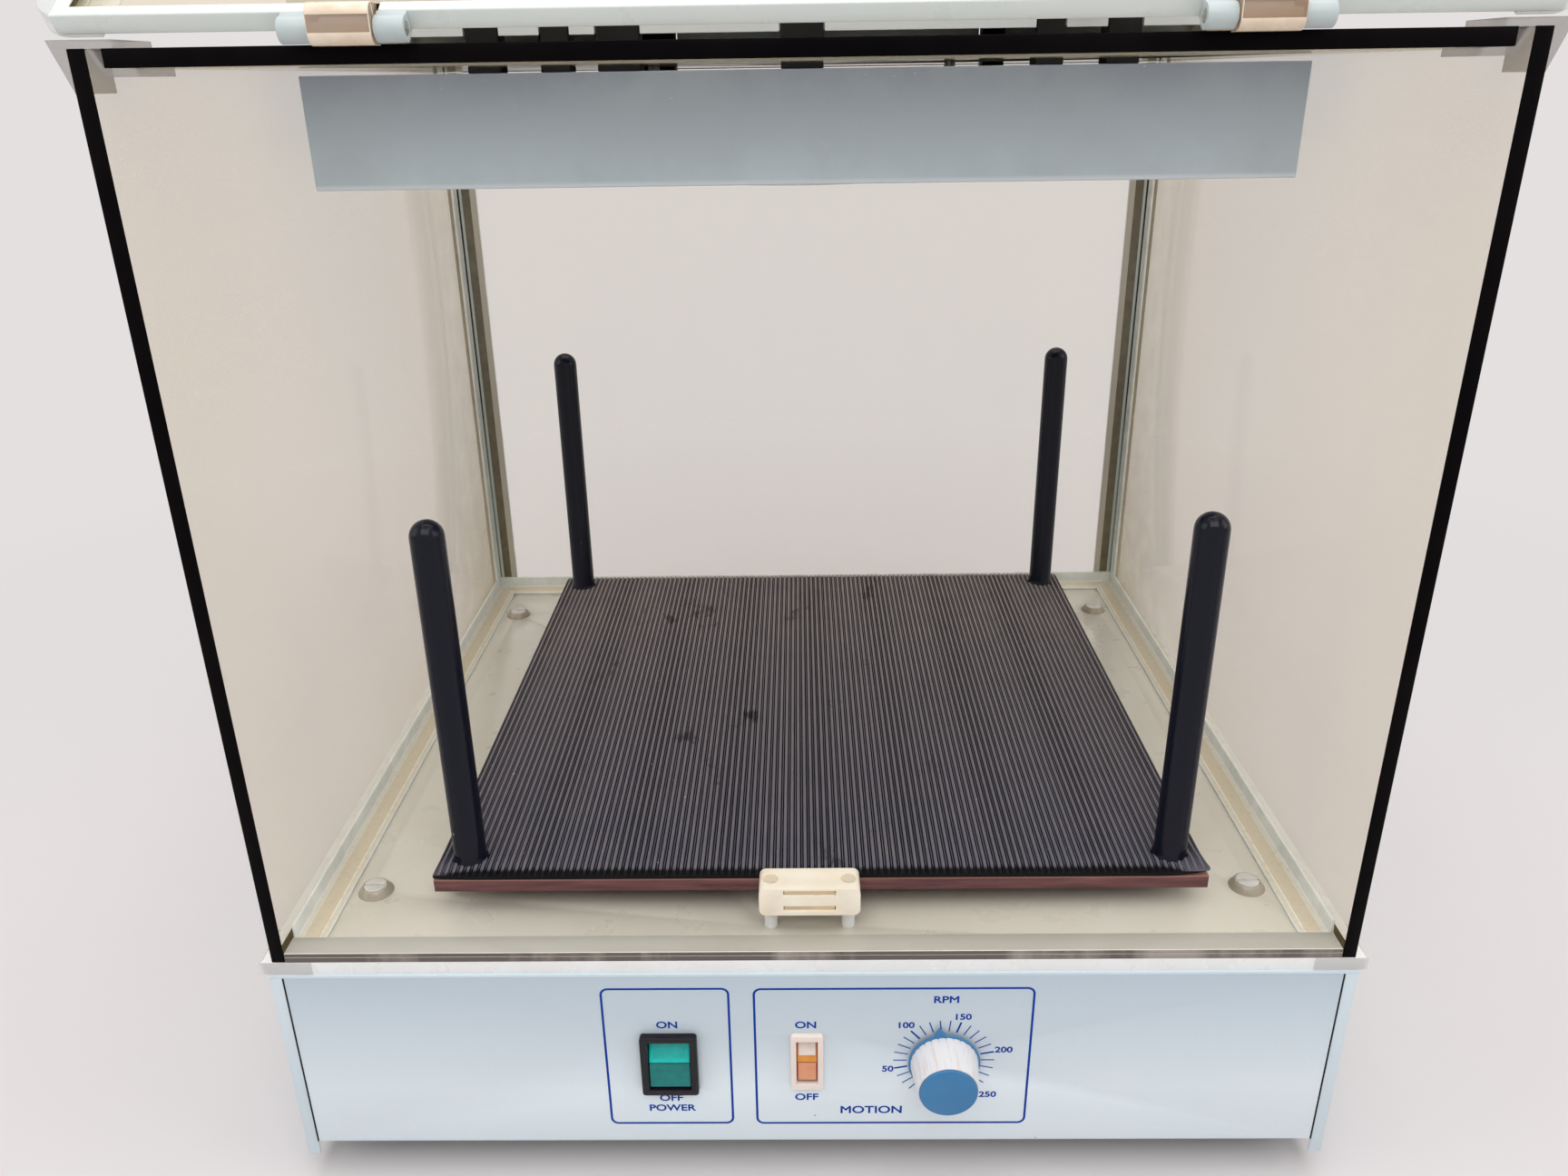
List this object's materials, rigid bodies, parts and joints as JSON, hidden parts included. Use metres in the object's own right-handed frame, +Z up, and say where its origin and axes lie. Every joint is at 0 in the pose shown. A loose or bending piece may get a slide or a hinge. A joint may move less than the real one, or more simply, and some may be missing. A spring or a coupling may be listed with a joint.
{
  "type": "incubated benchtop shaker",
  "caption": "Benchtop orbital shaker in a clear tinted incubator hood, with a lift-up door, a ribbed platform with corner posts, and rocker switches and a dial on the front.",
  "frame": {"origin": "middle of the overall footprint, at the underside of the feet", "axes": "+X to the right seen from the front, +Y to the back, +Z up"},
  "size_m": [0.468, 0.431, 0.6766],
  "materials": {
    "case_paint": "satin pale blue-grey powder paint",
    "grey_paint": "satin blue-grey paint",
    "zinc_steel": "dull zinc-plated steel",
    "bright_steel": "bright plated steel",
    "machined_steel": "turned steel",
    "aluminium": "plain aluminium",
    "black_rubber": "matt black rubber",
    "mat_rubber": "matt black ribbed rubber, lightly worn",
    "post_rubber": "glossy black dipped sleeve",
    "platform_wood": "reddish-brown laminated wood, sealed",
    "tinted_sheet": "light bronze tinted acrylic",
    "clear_plastic": "clear extruded plastic",
    "aqua_plastic": "pale aqua translucent plastic edging",
    "white_plastic": "white plastic",
    "cream_plastic": "cream moulded plastic",
    "dark_plastic": "black moulded plastic",
    "green_plastic": "translucent green rocker",
    "orange_plastic": "translucent orange rocker",
    "knob_white": "white moulded plastic, fluted",
    "knob_blue": "blue moulded plastic",
    "board_green": "green circuit board"
  },
  "bodies": {
    "base": {"back_panel": "tinted_sheet", "bearing_housing": "aluminium", "bottom_plate": "zinc_steel", "case_screws": "bright_steel", "catch_body": "cream_plastic", "catch_poles": "zinc_steel", "catch_standoffs": "white_plastic", "chamber_floor": "tinted_sheet", "control_board": "board_green", "corner_angles": "clear_plastic", "corner_clips": "clear_plastic", "cup_washers": "clear_plastic", "deck_plate": "case_paint", "door_buffers": "black_rubber", "drive_belt": "black_rubber", "drive_motor": "zinc_steel", "fan_guard": "bright_steel", "fan_motor": "zinc_steel", "feet": "black_rubber", "floor_base": "white_plastic", "front_fascia": "case_paint", "heater_cover": "grey_paint", "heater_element": "bright_steel", "hinge_pins": "bright_steel", "hinge_saddles": "clear_plastic", "hood_spacers": "black_rubber", "idler_housings": "aluminium", "left_panel": "tinted_sheet", "mains_inlet": "dark_plastic", "mains_switch_housing": "dark_plastic", "potentiometer": "zinc_steel", "rear_panel": "case_paint", "right_panel": "tinted_sheet", "shaker_switch_housing": "cream_plastic", "side_skirts": "case_paint", "thermostat": "dark_plastic", "top_box": "grey_paint", "top_box_chassis": "zinc_steel", "top_panel": "tinted_sheet"},
    "door": {"door_trim": "aqua_plastic", "door_panel": "tinted_sheet", "door_corners": "clear_plastic", "door_knuckles": "aqua_plastic", "strike_bracket": "zinc_steel"},
    "platform": {"platform_board": "platform_wood", "platform_mat": "mat_rubber", "platform_posts": "post_rubber", "post_nuts": "bright_steel", "platform_bearings": "machined_steel"},
    "drive_crank": {"drive_crank": "machined_steel"},
    "idler_1": {"idler_crank_1": "machined_steel"},
    "idler_2": {"idler_crank_2": "machined_steel"},
    "idler_3": {"idler_crank_3": "machined_steel"},
    "motor_shaft": {"motor_pulley": "aluminium"},
    "fan": {"fan_rotor": "aluminium"},
    "mains_rocker": {"mains_rocker": "green_plastic"},
    "shaker_rocker": {"shaker_rocker": "orange_plastic"},
    "speed_control": {"speed_knob": "knob_white", "speed_knob_trim": "knob_blue"},
    "temperature_control": {"temperature_knob": "white_plastic"}
  },
  "joints": [
    {"name": "door_hinge", "type": "hinge", "parent": "base", "child": "door", "pos_m": [0, -0.1991, 0.473], "axis": [1, 0, 0], "range_deg": [0, 236]},
    {"name": "drive_spin", "type": "hinge", "parent": "base", "child": "drive_crank", "pos_m": [0, 0.008, 0.09], "axis": [0, 0, 1], "continuous": true},
    {"name": "platform_turn", "type": "hinge", "parent": "drive_crank", "child": "platform", "pos_m": [0.00436, 0.00129, 0.13], "axis": [0, 0, 1], "continuous": true},
    {"name": "idler_spin_1", "type": "hinge", "parent": "base", "child": "idler_1", "pos_m": [0, 0.123, 0.11], "axis": [0, 0, 1], "continuous": true},
    {"name": "idler_spin_2", "type": "hinge", "parent": "base", "child": "idler_2", "pos_m": [-0.09959, -0.0495, 0.11], "axis": [0, 0, 1], "continuous": true},
    {"name": "idler_spin_3", "type": "hinge", "parent": "base", "child": "idler_3", "pos_m": [0.09959, -0.0495, 0.11], "axis": [0, 0, 1], "continuous": true},
    {"name": "motor_spin", "type": "hinge", "parent": "base", "child": "motor_shaft", "pos_m": [0.125, 0.078, 0.06], "axis": [0, 0, 1], "continuous": true},
    {"name": "fan_spin", "type": "hinge", "parent": "base", "child": "fan", "pos_m": [0, 0.008, 0.44], "axis": [0, 0, 1], "continuous": true},
    {"name": "mains_rocker_tilt", "type": "hinge", "parent": "base", "child": "mains_rocker", "pos_m": [-0.0611, -0.1939, 0.0659], "axis": [1, 0, 0], "range_deg": [0, 26]},
    {"name": "shaker_rocker_tilt", "type": "hinge", "parent": "base", "child": "shaker_rocker", "pos_m": [-0.0017, -0.1928, 0.0667], "axis": [1, 0, 0], "range_deg": [0, 26]},
    {"name": "speed_turn", "type": "hinge", "parent": "base", "child": "speed_control", "pos_m": [0.0573, -0.1989, 0.0664], "axis": [0, 1, 0], "range_deg": [-132, 144]},
    {"name": "temperature_turn", "type": "hinge", "parent": "base", "child": "temperature_control", "pos_m": [0.11, -0.0744, 0.5014], "axis": [0, 1, 0], "range_deg": [-135, 135]}
  ],
  "couplings": [
    {"joint": "platform_turn", "follows": "drive_spin", "ratio": -1},
    {"joint": "idler_spin_1", "follows": "drive_spin", "ratio": 1},
    {"joint": "idler_spin_2", "follows": "drive_spin", "ratio": 1},
    {"joint": "idler_spin_3", "follows": "drive_spin", "ratio": 1},
    {"joint": "motor_spin", "follows": "drive_spin", "ratio": 5}
  ]
}
